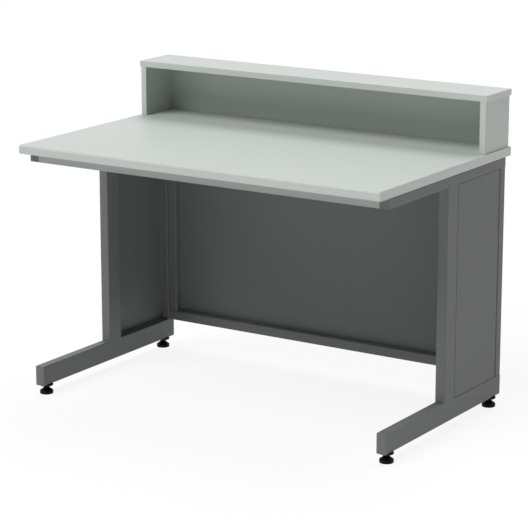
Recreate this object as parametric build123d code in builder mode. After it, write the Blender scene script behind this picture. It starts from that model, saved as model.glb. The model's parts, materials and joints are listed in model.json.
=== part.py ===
from build123d import *
import os

# A free-standing lab bench with a reagent shelf, in millimetres.
# X runs along the bench, Y from front to back, Z up.
# The origin is on the floor, under the middle of the worktop.

# Worktop board, with plastic bands on its ends and back
worktop_width = 1200.0
worktop_depth = 750.0
worktop_thickness = 26.0
worktop_height = 764.0
worktop_band = 2.0
front_top_radius = 7.0
front_bottom_radius = 5.0

# Apron strip under the front of the worktop
apron_thickness = 18.0
apron_height = 30.0

# Side frames of rectangular tube
frame_inset = 1.0
tube_width = 30.0
tube_wall = 2.0
tube_corner = 3.0
foot_rail_height = 60.0
top_rail_height = 30.0
rail_front_inset = 50.0
rail_rear_inset = 30.0
front_post_depth = 60.0
rear_post_depth = 30.0
side_bay = 253.0
end_plate = 2.0

# Back frame, centred on the depth of the rear posts
back_tube_height = 30.0
back_frame_inset = 2.5

# Folded sheet panels in the side frames and the back frame
sheet = 1.0
bend_radius = 2.0
tray_flange = 18.0
side_panel_inset = 1.0
side_panel_front_gap = 2.0
side_panel_rear_gap = 2.5
back_panel_inset = 2.0

# Reagent shelf
shelf_rise = 150.0
shelf_thickness = 18.0
shelf_depth = 150.0
shelf_end_inset = 1.0
shelf_rear_inset = 4.0
shelf_band = 1.0
upright_thickness = 18.0
upright_end_inset = 4.0
upright_rear_inset = 4.0
shelf_panel_thickness = 8.0
shelf_panel_rebate = 9.0

# Levelling feet
foot_front_inset = 30.0
foot_rear_inset = 40.0
socket_flange_diameter = 40.0
socket_flange_height = 5.0
socket_shank_gap = 3.0
socket_shank_length = 25.0
stud_diameter = 10.0
stud_headroom = 16.0
stud_head_step = 2.0
stud_head_height = 5.4
hex_across_flats = 17.0
hex_height = 4.9
pad_diameter = 40.0
pad_height = 19.5
pad_floor = 5.0
pad_rim_height = 9.5
pad_neck_diameter = 17.0
pad_foot_round = 1.5
pad_rim_round = 2.0
running_clearance = 0.05
face_clearance = 0.3

# Screws that hold the worktop, the shelf uprights and the apron
hole_clearance = 0.25
screw_diameter = 5.0
screw_head_diameter = 10.0
screw_head_height = 3.0
screw_cover = 8.0
screw_access_clearance = 1.0
rail_screw_front_inset = 60.0
rail_screw_post_gap = 57.0
back_screw_end_inset = 170.0
back_screw_count = 3
apron_screw_diameter = 4.0
apron_screw_head_diameter = 8.0
apron_screw_end_inset = 90.0
apron_screw_count = 4
upright_screw_grip = 36.0
upright_screw_end_inset = 29.0
upright_screw_count = 2

# Dowels and small screws of the shelf
dowel_diameter = 8.0
dowel_in_upright = 20.0
dowel_cover = 5.0
dowel_end_inset = 24.0
dowel_count = 3
panel_screw_diameter = 3.0
panel_screw_head_diameter = 6.0
panel_screw_length = 22.0
panel_screw_end_inset = 20.0
panel_screw_count = 3

# Bolts of the back frame, and rivets of the sheet panels
bolt_diameter = 6.0
bolt_head_flats = 10.0
bolt_head_height = 4.0
nut_height = 5.0
bolt_past_nut = 2.0
bolt_end_inset = 40.0
bolt_count = 3
rivet_diameter = 3.2
rivet_head_diameter = 6.5
rivet_head_height = 1.2
rivet_tail_diameter = 4.6
rivet_tail_height = 1.8
rivet_end_inset = 40.0
side_rivet_count = 3
back_rivet_count = 5

os.makedirs("parts", exist_ok=True)
sides = {"left": -1, "right": 1}

# Heights worked out from the sizes above
foot_height = pad_height + hex_height + 2 * face_clearance + socket_flange_height
foot_rail_top = foot_height + foot_rail_height
worktop_under = worktop_height - worktop_thickness
top_rail_under = worktop_under - top_rail_height
apron_under = worktop_under - apron_height
back_bottom_top = foot_rail_top + back_tube_height
back_top_under = worktop_under - back_tube_height
shelf_under = worktop_height + shelf_rise
shelf_bay_z = worktop_height + shelf_rise / 2

# Places along the bench
board_end_x = worktop_width / 2 - worktop_band
frame_outer_x = worktop_width / 2 - frame_inset
frame_inner_x = frame_outer_x - tube_width
rail_x = frame_outer_x - tube_width / 2
panel_face_x = frame_outer_x - side_panel_inset
stile_inner_x = frame_inner_x - back_tube_height
shelf_end_x = worktop_width / 2 - shelf_end_inset
upright_outer_x = shelf_end_x - upright_end_inset
upright_x = upright_outer_x - upright_thickness / 2
upright_inner_x = upright_outer_x - upright_thickness

# Places from front to back
front_y = -worktop_depth / 2
rear_y = worktop_depth / 2
rail_front_y = front_y + rail_front_inset
rail_rear_y = rear_y - rail_rear_inset
apron_y = rail_front_y + apron_thickness / 2
rear_post_y = rail_rear_y - rear_post_depth / 2
rear_post_front_y = rail_rear_y - rear_post_depth
side_panel_rear_y = rear_post_front_y - side_panel_rear_gap
front_post_rear_y = rear_post_front_y - side_bay
front_post_front_y = front_post_rear_y - front_post_depth
side_panel_front_y = front_post_rear_y + side_panel_front_gap
back_tube_depth = rear_post_depth - 2 * back_frame_inset
back_face_y = rail_rear_y - back_frame_inset - back_panel_inset
shelf_rear_y = rear_y - shelf_rear_inset
shelf_front_y = shelf_rear_y - shelf_depth
shelf_board_front_y = shelf_front_y + shelf_band
upright_rear_y = shelf_rear_y - upright_rear_inset
shelf_panel_front_y = upright_rear_y - shelf_panel_thickness
foot_ys = {"front": rail_front_y + foot_front_inset, "rear": rail_rear_y - foot_rear_inset}


# Writes a finished piece under its own name
def keep(piece, name):
    piece.part.label = name
    export_step(piece.part, f"parts/{name}.step")


# Evenly spaced values, each end set in from a low and a high limit
def spaced(low, high, end_inset, count):
    step = (high - low - 2 * end_inset) / (count - 1)
    return [low + end_inset + step * i for i in range(count)]


# Planes that a tube or board is extruded from, along X, Y or Z
def plane_along_x(x, y, z):
    return Plane(origin=(x, y, z), x_dir=(0, 1, 0), z_dir=(1, 0, 0))


def plane_along_y(x, y, z):
    return Plane(origin=(x, y, z), x_dir=(1, 0, 0), z_dir=(0, 1, 0))


def plane_along_z(x, y, z):
    return Plane(origin=(x, y, z))


# Turns a cylinder or cone from Z to X or Y
upright_turn = (0, 0, 0)
turn_to_x = (0, 90, 0)
turn_to_y = (90, 0, 0)


# Section of a tube, drawn in the open sketch
def tube_section(width, height):
    bore_corner = max(tube_corner - tube_wall, tube_wall / 10)
    RectangleRounded(width, height, tube_corner)
    RectangleRounded(width - 2 * tube_wall, height - 2 * tube_wall, bore_corner, mode=Mode.SUBTRACT)


# Round holes in the open part, from points on its faces to a depth inside
def bore(points, diameter, depth, turn=upright_turn):
    with Locations(*points):
        Cylinder(diameter / 2, 2 * depth, rotation=turn, mode=Mode.SUBTRACT)


# Round holes through one wall of the open part, from points on its faces
def punch(points, diameter, wall, turn=upright_turn):
    bore(points, diameter, wall + wall / 2, turn)


# Fastener places, shared by the fasteners and their holes
rail_screw_ys = [rail_front_y + rail_screw_front_inset, front_post_front_y - rail_screw_post_gap]
rail_screw_points = [(s * rail_x, y) for s in sides.values() for y in rail_screw_ys]
back_screw_xs = spaced(-frame_inner_x, frame_inner_x, back_screw_end_inset, back_screw_count)
back_screw_points = [(x, rear_post_y) for x in back_screw_xs]
worktop_screw_points = rail_screw_points + back_screw_points
apron_screw_xs = spaced(-frame_inner_x, frame_inner_x, apron_screw_end_inset, apron_screw_count)
upright_screw_ys = spaced(
    shelf_front_y, shelf_panel_front_y, upright_screw_end_inset, upright_screw_count
)
upright_screw_points = [(s * upright_x, y) for s in sides.values() for y in upright_screw_ys]
dowel_ys = spaced(shelf_front_y, shelf_panel_front_y, dowel_end_inset, dowel_count)
panel_screw_x = upright_inner_x + shelf_panel_rebate / 2
panel_screw_zs = spaced(worktop_height, shelf_under, panel_screw_end_inset, panel_screw_count)
panel_screw_points = [(s * panel_screw_x, z) for s in sides.values() for z in panel_screw_zs]
bolt_zs = spaced(back_bottom_top, back_top_under, bolt_end_inset, bolt_count)
side_rivet_x = panel_face_x - tray_flange / 2
side_rivet_ys = spaced(side_panel_front_y, side_panel_rear_y, rivet_end_inset, side_rivet_count)
back_rivet_y = back_face_y - tray_flange / 2
back_rivet_xs = spaced(-stile_inner_x, stile_inner_x, rivet_end_inset, back_rivet_count)

# Sizes of the holes and countersinks that the fasteners need
screw_grip = worktop_thickness - screw_cover
screw_hole = screw_diameter + 2 * running_clearance
screw_clear_hole = screw_diameter + 2 * hole_clearance
screw_access_hole = screw_head_diameter + 2 * screw_access_clearance
screw_sink = (screw_head_diameter - screw_diameter) / 2
apron_screw_hole = apron_screw_diameter + 2 * running_clearance
apron_screw_sink = (apron_screw_head_diameter - apron_screw_diameter) / 2
panel_screw_hole = panel_screw_diameter + 2 * running_clearance
panel_screw_sink = (panel_screw_head_diameter - panel_screw_diameter) / 2
dowel_hole = dowel_diameter + 2 * running_clearance
dowel_in_shelf = shelf_thickness - dowel_cover
bolt_hole = bolt_diameter + 2 * hole_clearance
rivet_hole = rivet_diameter + 2 * running_clearance


# Outline of the worktop's cross-section, rounded along the front, drawn in the open sketch
def worktop_section(sketch, depth):
    with Locations((depth / 2, worktop_thickness / 2)):
        Rectangle(depth, worktop_thickness)
    top_corners = sketch.vertices().group_by(Axis.Y)[-1]
    fillet(top_corners.sort_by(Axis.X)[0], front_top_radius)
    bottom_corners = sketch.vertices().group_by(Axis.Y)[0]
    fillet(bottom_corners.sort_by(Axis.X)[0], front_bottom_radius)


# Worktop board, bored from below
with BuildPart() as worktop:
    with BuildSketch(plane_along_x(-board_end_x, front_y, worktop_under)) as board_section:
        worktop_section(board_section, worktop_depth - worktop_band)
    extrude(amount=2 * board_end_x)
    screw_places = [(x, y, worktop_under) for x, y in worktop_screw_points]
    bore(screw_places, screw_hole, screw_grip + face_clearance)
    apron_places = [(x, apron_y, worktop_under) for x in apron_screw_xs]
    bore(apron_places, apron_screw_hole, screw_grip + face_clearance)
    punch([(x, y, worktop_under) for x, y in upright_screw_points], screw_hole, worktop_thickness)
    with Locations(*[(x, y, worktop_under + screw_sink / 2) for x, y in upright_screw_points]):
        Cone(
            screw_head_diameter / 2 + running_clearance,
            screw_hole / 2,
            screw_sink,
            mode=Mode.SUBTRACT,
        )
keep(worktop, "worktop")

# Worktop edge bands
for side, s in sides.items():
    band_start_x = -worktop_width / 2 if s < 0 else board_end_x
    with BuildPart() as worktop_end_band:
        with BuildSketch(plane_along_x(band_start_x, front_y, worktop_under)) as band_section:
            worktop_section(band_section, worktop_depth)
        extrude(amount=worktop_band)
    keep(worktop_end_band, f"worktop_end_band_{side}")

with BuildPart() as worktop_rear_band:
    with Locations((0, rear_y - worktop_band / 2, worktop_under + worktop_thickness / 2)):
        Box(2 * board_end_x, worktop_band, worktop_thickness)
keep(worktop_rear_band, "worktop_rear_band")

# Worktop screws: pan heads inside the tubes, under their top walls
with BuildPart() as worktop_screws:
    head_top = worktop_under - tube_wall
    shank = tube_wall + screw_grip
    with Locations(*[(x, y, head_top - screw_head_height / 2) for x, y in worktop_screw_points]):
        Cylinder(screw_head_diameter / 2, screw_head_height)
    with Locations(*[(x, y, head_top + shank / 2) for x, y in worktop_screw_points]):
        Cylinder(screw_diameter / 2, shank)
keep(worktop_screws, "worktop_screws")

# Front apron and its countersunk screws
apron_sink_places = [(x, apron_y, apron_under + apron_screw_sink / 2) for x in apron_screw_xs]
with BuildPart() as front_apron:
    with Locations((0, apron_y, apron_under + apron_height / 2)):
        Box(2 * frame_inner_x, apron_thickness, apron_height)
    punch([(x, apron_y, worktop_under) for x in apron_screw_xs], apron_screw_hole, apron_height)
    with Locations(*apron_sink_places):
        Cone(
            apron_screw_head_diameter / 2 + running_clearance,
            apron_screw_hole / 2,
            apron_screw_sink,
            mode=Mode.SUBTRACT,
        )
keep(front_apron, "front_apron")

with BuildPart() as apron_screws:
    apron_shank = apron_height + screw_grip - apron_screw_sink
    apron_shank_z = apron_under + apron_screw_sink + apron_shank / 2
    with Locations(*apron_sink_places):
        Cone(apron_screw_head_diameter / 2, apron_screw_diameter / 2, apron_screw_sink)
    with Locations(*[(x, apron_y, apron_shank_z) for x in apron_screw_xs]):
        Cylinder(apron_screw_diameter / 2, apron_shank)
keep(apron_screws, "apron_screws")

# Side frames: a foot rail and a top rail with closed ends, and two posts between them
rail_tube_length = rail_rear_y - rail_front_y - 2 * end_plate
post_length = top_rail_under - foot_rail_top
rail_heights = {"foot_rail": foot_rail_height, "top_rail": top_rail_height}
rail_zs = {"foot_rail": foot_height + foot_rail_height / 2, "top_rail": worktop_under - top_rail_height / 2}
socket_shank_diameter = tube_width - 2 * tube_wall - 2 * socket_shank_gap
for side, s in sides.items():
    x = s * rail_x
    with BuildPart() as foot_rail:
        with BuildSketch(plane_along_y(x, rail_front_y + end_plate, rail_zs["foot_rail"])):
            tube_section(tube_width, foot_rail_height)
        extrude(amount=rail_tube_length)
        socket_hole = socket_shank_diameter + 2 * running_clearance
        punch([(x, y, foot_height) for y in foot_ys.values()], socket_hole, tube_wall)
        punch([(s * side_rivet_x, y, foot_rail_top) for y in side_rivet_ys], rivet_hole, tube_wall)
    keep(foot_rail, f"foot_rail_{side}")

    with BuildPart() as top_rail:
        with BuildSketch(plane_along_y(x, rail_front_y + end_plate, rail_zs["top_rail"])):
            tube_section(tube_width, top_rail_height)
        extrude(amount=rail_tube_length)
        punch([(x, y, worktop_under) for y in rail_screw_ys], screw_clear_hole, tube_wall)
        punch([(x, y, top_rail_under) for y in rail_screw_ys], screw_access_hole, tube_wall)
        punch([(s * side_rivet_x, y, top_rail_under) for y in side_rivet_ys], rivet_hole, tube_wall)
    keep(top_rail, f"top_rail_{side}")

    for rail in rail_zs:
        for end, plate_y in {"front": rail_front_y, "rear": rail_rear_y - end_plate}.items():
            with BuildPart() as rail_end_plate:
                with BuildSketch(plane_along_y(x, plate_y, rail_zs[rail])):
                    RectangleRounded(tube_width, rail_heights[rail], tube_corner)
                extrude(amount=end_plate)
            keep(rail_end_plate, f"{rail}_{end}_plate_{side}")

    with BuildPart() as front_post:
        with BuildSketch(plane_along_z(x, front_post_rear_y - front_post_depth / 2, foot_rail_top)):
            tube_section(tube_width, front_post_depth)
        extrude(amount=post_length)
    keep(front_post, f"front_post_{side}")

    with BuildPart() as rear_post:
        with BuildSketch(plane_along_z(x, rear_post_y, foot_rail_top)):
            tube_section(tube_width, rear_post_depth)
        extrude(amount=post_length)
        punch([(s * frame_inner_x, rear_post_y, z) for z in bolt_zs], bolt_hole, tube_wall, turn_to_x)
    keep(rear_post, f"rear_post_{side}")

# Side panels: sheet trays almost flush with the outside, their flanges folded inwards.
# The upper and lower flanges lie against the rails. The others leave a groove at each post,
# closed behind by a lip that is turned out from the flange's inner edge and meets the post.
inner_bend_radius = max(bend_radius - sheet, sheet / 10)
side_panel_depth = side_panel_rear_y - side_panel_front_y
side_panel_y = (side_panel_front_y + side_panel_rear_y) / 2
side_panel_z = (foot_rail_top + top_rail_under) / 2
lip_x = panel_face_x - tray_flange + sheet / 2
lip_grooves = [(front_post_rear_y, side_panel_front_y), (side_panel_rear_y, rear_post_front_y)]
for side, s in sides.items():
    outermost = -1 if s > 0 else 0
    with BuildPart() as side_cavity:
        with Locations((s * (panel_face_x - sheet - tray_flange / 2), side_panel_y, side_panel_z)):
            Box(tray_flange, side_panel_depth - 2 * sheet, post_length - 2 * sheet)
        fillet(side_cavity.faces().sort_by(Axis.X)[outermost].edges(), inner_bend_radius)

    with BuildPart() as side_panel:
        with Locations((s * (panel_face_x - tray_flange / 2), side_panel_y, side_panel_z)):
            Box(tray_flange, side_panel_depth, post_length)
        fillet(side_panel.faces().sort_by(Axis.X)[outermost].edges(), bend_radius)
        add(side_cavity.part, mode=Mode.SUBTRACT)
        for groove_front_y, groove_rear_y in lip_grooves:
            with Locations((s * lip_x, (groove_front_y + groove_rear_y) / 2, side_panel_z)):
                Box(sheet, groove_rear_y - groove_front_y, post_length)
        for level in (foot_rail_top, top_rail_under):
            punch([(s * side_rivet_x, y, level) for y in side_rivet_ys], rivet_hole, sheet)
    keep(side_panel, f"side_panel_{side}")

# Back frame: two rails between the rear posts, and two stiles between the rails
back_rail_zs = {"bottom": foot_rail_top + back_tube_height / 2, "top": worktop_under - back_tube_height / 2}
back_rivet_levels = {"bottom": back_bottom_top, "top": back_top_under}
for level, z in back_rail_zs.items():
    with BuildPart() as back_rail:
        with BuildSketch(plane_along_x(-frame_inner_x, rear_post_y, z)):
            tube_section(back_tube_depth, back_tube_height)
        extrude(amount=2 * frame_inner_x)
        rivet_places = [(x, back_rivet_y, back_rivet_levels[level]) for x in back_rivet_xs]
        punch(rivet_places, rivet_hole, tube_wall)
        if level == "top":
            punch([(x, y, worktop_under) for x, y in back_screw_points], screw_clear_hole, tube_wall)
            punch([(x, y, back_top_under) for x, y in back_screw_points], screw_access_hole, tube_wall)
    keep(back_rail, f"back_{level}_rail")

stile_length = back_top_under - back_bottom_top
for side, s in sides.items():
    with BuildPart() as back_stile:
        stile_x = s * (frame_inner_x - back_tube_height / 2)
        with BuildSketch(plane_along_z(stile_x, rear_post_y, back_bottom_top)):
            tube_section(back_tube_height, back_tube_depth)
        extrude(amount=stile_length)
        bolt_places = [(s * stile_inner_x, rear_post_y, z) for z in bolt_zs]
        punch(bolt_places, bolt_hole, back_tube_height, turn_to_x)
    keep(back_stile, f"back_stile_{side}")

# Back panel: a sheet tray near the rear of the back frame, its flanges folded forwards
back_panel_z = (back_bottom_top + back_top_under) / 2
with BuildPart() as back_cavity:
    with Locations((0, back_face_y - sheet - tray_flange / 2, back_panel_z)):
        Box(2 * (stile_inner_x - sheet), tray_flange, stile_length - 2 * sheet)
    fillet(back_cavity.faces().sort_by(Axis.Y)[-1].edges(), inner_bend_radius)

with BuildPart() as back_panel:
    with Locations((0, back_face_y - tray_flange / 2, back_panel_z)):
        Box(2 * stile_inner_x, tray_flange, stile_length)
    fillet(back_panel.faces().sort_by(Axis.Y)[-1].edges(), bend_radius)
    add(back_cavity.part, mode=Mode.SUBTRACT)
    for level in back_rivet_levels.values():
        punch([(x, back_rivet_y, level) for x in back_rivet_xs], rivet_hole, sheet)
    for s in sides.values():
        punch([(s * stile_inner_x, rear_post_y, z) for z in bolt_zs], bolt_hole, sheet, turn_to_x)
keep(back_panel, "back_panel")

# Back frame bolts and nuts: heads on the back panel's flanges, nuts inside the rear posts
bolt_head_x = stile_inner_x - sheet
nut_x = frame_inner_x + tube_wall
bolt_length = nut_x + nut_height + bolt_past_nut - bolt_head_x
with BuildPart() as back_frame_bolts:
    for s in sides.values():
        for z in bolt_zs:
            with BuildSketch(plane_along_x(s * bolt_head_x, rear_post_y, z)):
                RegularPolygon(bolt_head_flats / 2, 6, major_radius=False)
            extrude(amount=-s * bolt_head_height)
            with BuildSketch(plane_along_x(s * bolt_head_x, rear_post_y, z)):
                Circle(bolt_diameter / 2)
            extrude(amount=s * bolt_length)
keep(back_frame_bolts, "back_frame_bolts")

with BuildPart() as back_frame_nuts:
    for s in sides.values():
        for z in bolt_zs:
            with BuildSketch(plane_along_x(s * nut_x, rear_post_y, z)):
                RegularPolygon(bolt_head_flats / 2, 6, major_radius=False)
                Circle(bolt_diameter / 2 + running_clearance, mode=Mode.SUBTRACT)
            extrude(amount=s * nut_height)
keep(back_frame_nuts, "back_frame_nuts")

# A blind rivet along Z: its head stands on the sheet at the origin, its tail grips the tube wall below
with BuildPart() as rivet:
    rivet_grip = sheet + tube_wall
    with Locations((0, 0, rivet_head_height / 2)):
        Cylinder(rivet_head_diameter / 2, rivet_head_height)
    fillet(rivet.edges().group_by(Axis.Z)[-1], rivet_head_height / 2)
    with Locations((0, 0, -rivet_grip / 2)):
        Cylinder(rivet_diameter / 2, rivet_grip)
    with Locations((0, 0, -rivet_grip - rivet_tail_height / 2)):
        Cylinder(rivet_tail_diameter / 2, rivet_tail_height)

# Rivets of the side panels and the back panel, with their heads inside the trays
head_down = (180, 0, 0)
with BuildPart() as side_panel_rivets:
    for s in sides.values():
        x = s * side_rivet_x
        places = [Location((x, y, foot_rail_top + sheet)) for y in side_rivet_ys]
        places += [Location((x, y, top_rail_under - sheet), head_down) for y in side_rivet_ys]
        with Locations(*places):
            add(rivet.part)
keep(side_panel_rivets, "side_panel_rivets")

with BuildPart() as back_panel_rivets:
    places = [Location((x, back_rivet_y, back_bottom_top + sheet)) for x in back_rivet_xs]
    places += [Location((x, back_rivet_y, back_top_under - sheet), head_down) for x in back_rivet_xs]
    with Locations(*places):
        add(rivet.part)
keep(back_panel_rivets, "back_panel_rivets")

# Shelf uprights: boards with banded fronts, rebated behind for the shelf's back panel
for side, s in sides.items():
    with BuildPart() as shelf_upright:
        upright_y = (shelf_board_front_y + upright_rear_y) / 2
        with Locations((s * upright_x, upright_y, shelf_bay_z)):
            Box(upright_thickness, upright_rear_y - shelf_board_front_y, shelf_rise)
        with Locations((s * panel_screw_x, upright_rear_y - shelf_panel_thickness / 2, shelf_bay_z)):
            Box(shelf_panel_rebate, shelf_panel_thickness, shelf_rise, mode=Mode.SUBTRACT)
        screw_places = [(s * upright_x, y, worktop_height) for y in upright_screw_ys]
        bore(screw_places, screw_hole, upright_screw_grip + face_clearance)
        dowel_places = [(s * upright_x, y, shelf_under) for y in dowel_ys]
        bore(dowel_places, dowel_hole, dowel_in_upright + face_clearance)
        panel_places = [(s * panel_screw_x, upright_rear_y, z) for z in panel_screw_zs]
        bore(panel_places, panel_screw_hole, panel_screw_length + face_clearance, turn_to_y)
    keep(shelf_upright, f"shelf_upright_{side}")

    with BuildPart() as upright_front_band:
        with Locations((s * upright_x, shelf_front_y + shelf_band / 2, shelf_bay_z)):
            Box(upright_thickness, shelf_band, shelf_rise)
    keep(upright_front_band, f"shelf_upright_front_band_{side}")

# Countersunk screws from under the worktop into the uprights
with BuildPart() as shelf_upright_screws:
    upright_shank = worktop_thickness + upright_screw_grip - screw_sink
    upright_shank_z = worktop_under + screw_sink + upright_shank / 2
    with Locations(*[(x, y, worktop_under + screw_sink / 2) for x, y in upright_screw_points]):
        Cone(screw_head_diameter / 2, screw_diameter / 2, screw_sink)
    with Locations(*[(x, y, upright_shank_z) for x, y in upright_screw_points]):
        Cylinder(screw_diameter / 2, upright_shank)
keep(shelf_upright_screws, "shelf_upright_screws")

# Shelf back panel in the rebates, and its countersunk screws from behind
panel_sink_y = upright_rear_y - panel_screw_sink / 2
with BuildPart() as shelf_back_panel:
    shelf_panel_width = 2 * (upright_inner_x + shelf_panel_rebate)
    with Locations((0, upright_rear_y - shelf_panel_thickness / 2, shelf_bay_z)):
        Box(shelf_panel_width, shelf_panel_thickness, shelf_rise)
    screw_places = [(x, upright_rear_y, z) for x, z in panel_screw_points]
    punch(screw_places, panel_screw_hole, shelf_panel_thickness, turn_to_y)
    with Locations(*[(x, panel_sink_y, z) for x, z in panel_screw_points]):
        Cone(
            panel_screw_head_diameter / 2 + running_clearance,
            panel_screw_hole / 2,
            panel_screw_sink,
            rotation=turn_to_y,
            mode=Mode.SUBTRACT,
        )
keep(shelf_back_panel, "shelf_back_panel")

with BuildPart() as shelf_panel_screws:
    panel_shank = panel_screw_length - panel_screw_sink
    panel_shank_y = upright_rear_y - panel_screw_sink - panel_shank / 2
    with Locations(*[(x, panel_sink_y, z) for x, z in panel_screw_points]):
        Cone(
            panel_screw_head_diameter / 2,
            panel_screw_diameter / 2,
            panel_screw_sink,
            rotation=turn_to_y,
        )
    with Locations(*[(x, panel_shank_y, z) for x, z in panel_screw_points]):
        Cylinder(panel_screw_diameter / 2, panel_shank, rotation=turn_to_y)
keep(shelf_panel_screws, "shelf_panel_screws")

# Shelf board with its bands, and the dowels that join it to the uprights
shelf_z = shelf_under + shelf_thickness / 2
shelf_board_end_x = shelf_end_x - shelf_band
dowel_points = [(s * upright_x, y) for s in sides.values() for y in dowel_ys]
with BuildPart() as shelf_top:
    with Locations((0, (shelf_board_front_y + shelf_rear_y) / 2, shelf_z)):
        Box(2 * shelf_board_end_x, shelf_rear_y - shelf_board_front_y, shelf_thickness)
    bore([(x, y, shelf_under) for x, y in dowel_points], dowel_hole, dowel_in_shelf + face_clearance)
keep(shelf_top, "shelf_top")

with BuildPart() as shelf_front_band:
    with Locations((0, shelf_front_y + shelf_band / 2, shelf_z)):
        Box(2 * shelf_board_end_x, shelf_band, shelf_thickness)
keep(shelf_front_band, "shelf_top_front_band")

for side, s in sides.items():
    with BuildPart() as shelf_end_band:
        band_x = s * (shelf_end_x - shelf_band / 2)
        with Locations((band_x, (shelf_front_y + shelf_rear_y) / 2, shelf_z)):
            Box(shelf_band, shelf_depth, shelf_thickness)
    keep(shelf_end_band, f"shelf_top_end_band_{side}")

with BuildPart() as shelf_dowels:
    dowel_z = shelf_under + (dowel_in_shelf - dowel_in_upright) / 2
    with Locations(*[(x, y, dowel_z) for x, y in dowel_points]):
        Cylinder(dowel_diameter / 2, dowel_in_upright + dowel_in_shelf)
keep(shelf_dowels, "shelf_dowels")

# Levelling feet: a flanged socket in the foot rail, a stud with a hexagon, and a pad that the stud turns in
socket_under = foot_height - socket_flange_height
hex_under = pad_height + face_clearance
stud_hole = stud_diameter + 2 * running_clearance
stud_head_diameter = stud_diameter + 2 * stud_head_step
stud_head_under = pad_floor + face_clearance
stud_head_top = stud_head_under + stud_head_height
stud_top = foot_rail_top - tube_wall - stud_headroom
pad_cavity_top = stud_head_top + face_clearance
pad_cavity_radius = stud_head_diameter / 2 + face_clearance
for side, s in sides.items():
    for end, y in foot_ys.items():
        x = s * rail_x
        with BuildPart() as foot_socket:
            with BuildSketch(plane_along_z(x, y, socket_under)):
                Circle(socket_flange_diameter / 2)
                Circle(stud_hole / 2, mode=Mode.SUBTRACT)
            extrude(amount=socket_flange_height)
            with BuildSketch(plane_along_z(x, y, foot_height)):
                Circle(socket_shank_diameter / 2)
                Circle(stud_hole / 2, mode=Mode.SUBTRACT)
            extrude(amount=socket_shank_length)
        keep(foot_socket, f"foot_socket_{end}_{side}")

        with BuildPart() as foot_stud:
            with BuildSketch(plane_along_z(x, y, stud_head_under)):
                Circle(stud_head_diameter / 2)
            extrude(amount=stud_head_height)
            with BuildSketch(plane_along_z(x, y, stud_head_top)):
                Circle(stud_diameter / 2)
            extrude(amount=stud_top - stud_head_top)
            with BuildSketch(plane_along_z(x, y, hex_under)):
                RegularPolygon(hex_across_flats / 2, 6, major_radius=False)
            extrude(amount=hex_height)
        keep(foot_stud, f"foot_stud_{end}_{side}")

        with BuildPart() as foot_pad:
            with BuildSketch(Plane(origin=(x, y, 0), x_dir=(1, 0, 0), z_dir=(0, -1, 0))) as pad_section:
                with BuildLine():
                    Polyline(
                        (0, 0),
                        (pad_diameter / 2, 0),
                        (pad_diameter / 2, pad_rim_height),
                        (pad_neck_diameter / 2, pad_height),
                        (stud_hole / 2, pad_height),
                        (stud_hole / 2, pad_cavity_top),
                        (pad_cavity_radius, pad_cavity_top),
                        (pad_cavity_radius, pad_floor),
                        (0, pad_floor),
                        close=True,
                    )
                make_face()
                rim = pad_section.vertices().group_by(Axis.X)[-1]
                fillet(rim.sort_by(Axis.Y)[0], pad_foot_round)
                rim = pad_section.vertices().group_by(Axis.X)[-1]
                fillet(rim.sort_by(Axis.Y)[-1], pad_rim_round)
            revolve(axis=Axis((x, y, 0), (0, 0, 1)))
        keep(foot_pad, f"foot_pad_{end}_{side}")
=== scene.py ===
# %% [markdown]
# A lab bench with a reagent shelf. A laminated worktop lies on two C-shaped side frames of steel tube,
# with folded sheet panels at the sides and the back, a raised shelf along the rear edge and four levelling
# feet. The engineering model is loaded first and stays fixed. Every piece below stands in for one or more of
# its nodes: places and main sizes are read from them, and only small details are given.

# %% Load the frame
import json
import math

import bmesh
import bpy
from mathutils import Matrix, Vector


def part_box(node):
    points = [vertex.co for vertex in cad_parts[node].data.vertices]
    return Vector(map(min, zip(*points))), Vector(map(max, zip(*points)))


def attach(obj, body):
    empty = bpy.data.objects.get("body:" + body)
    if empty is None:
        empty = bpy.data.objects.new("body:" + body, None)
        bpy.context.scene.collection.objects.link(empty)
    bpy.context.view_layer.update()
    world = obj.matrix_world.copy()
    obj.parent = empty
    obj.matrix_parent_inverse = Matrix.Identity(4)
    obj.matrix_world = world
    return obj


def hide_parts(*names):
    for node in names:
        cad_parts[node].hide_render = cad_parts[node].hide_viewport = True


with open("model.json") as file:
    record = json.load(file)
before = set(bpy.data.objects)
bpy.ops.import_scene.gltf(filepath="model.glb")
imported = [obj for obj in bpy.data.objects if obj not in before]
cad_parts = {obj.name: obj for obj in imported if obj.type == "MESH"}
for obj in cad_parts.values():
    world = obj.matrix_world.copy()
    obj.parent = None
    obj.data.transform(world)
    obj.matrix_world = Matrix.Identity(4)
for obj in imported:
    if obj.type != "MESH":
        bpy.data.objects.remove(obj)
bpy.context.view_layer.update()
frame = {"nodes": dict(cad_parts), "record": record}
MM = 0.001
scene = bpy.context.scene
scene.view_settings.view_transform = "Standard"

# %% [markdown]
# The camera stands well back with a long lens, to the right of the bench and a little above it. A large
# vertical shift of the lens could keep upright edges parallel, but it would push the bench out of every
# other view. So the camera is simply tilted down.

# %% Camera
camera_place = (3.428, -5.308, 1.982)
camera_turn_deg = 32.87
camera_tilt_deg = 13.94
camera_lens = 152.4

camera_data = bpy.data.cameras.new("photo_camera")
camera_data.lens = camera_lens
camera_data.sensor_width = 36.0
camera = bpy.data.objects.new("photo_camera", camera_data)
camera.location = camera_place
camera.rotation_euler = (math.radians(90 - camera_tilt_deg), 0, math.radians(camera_turn_deg))
scene.collection.objects.link(camera)
scene.camera = camera
print("camera", camera_place, "lens", camera_lens)

# %% [markdown]
# Nodes are added in the same way in every tree, for shaders and for geometry. One small helper adds a node,
# sets its options and then either wires each input to a socket or gives it a constant. It keeps the later
# cells short.

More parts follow.
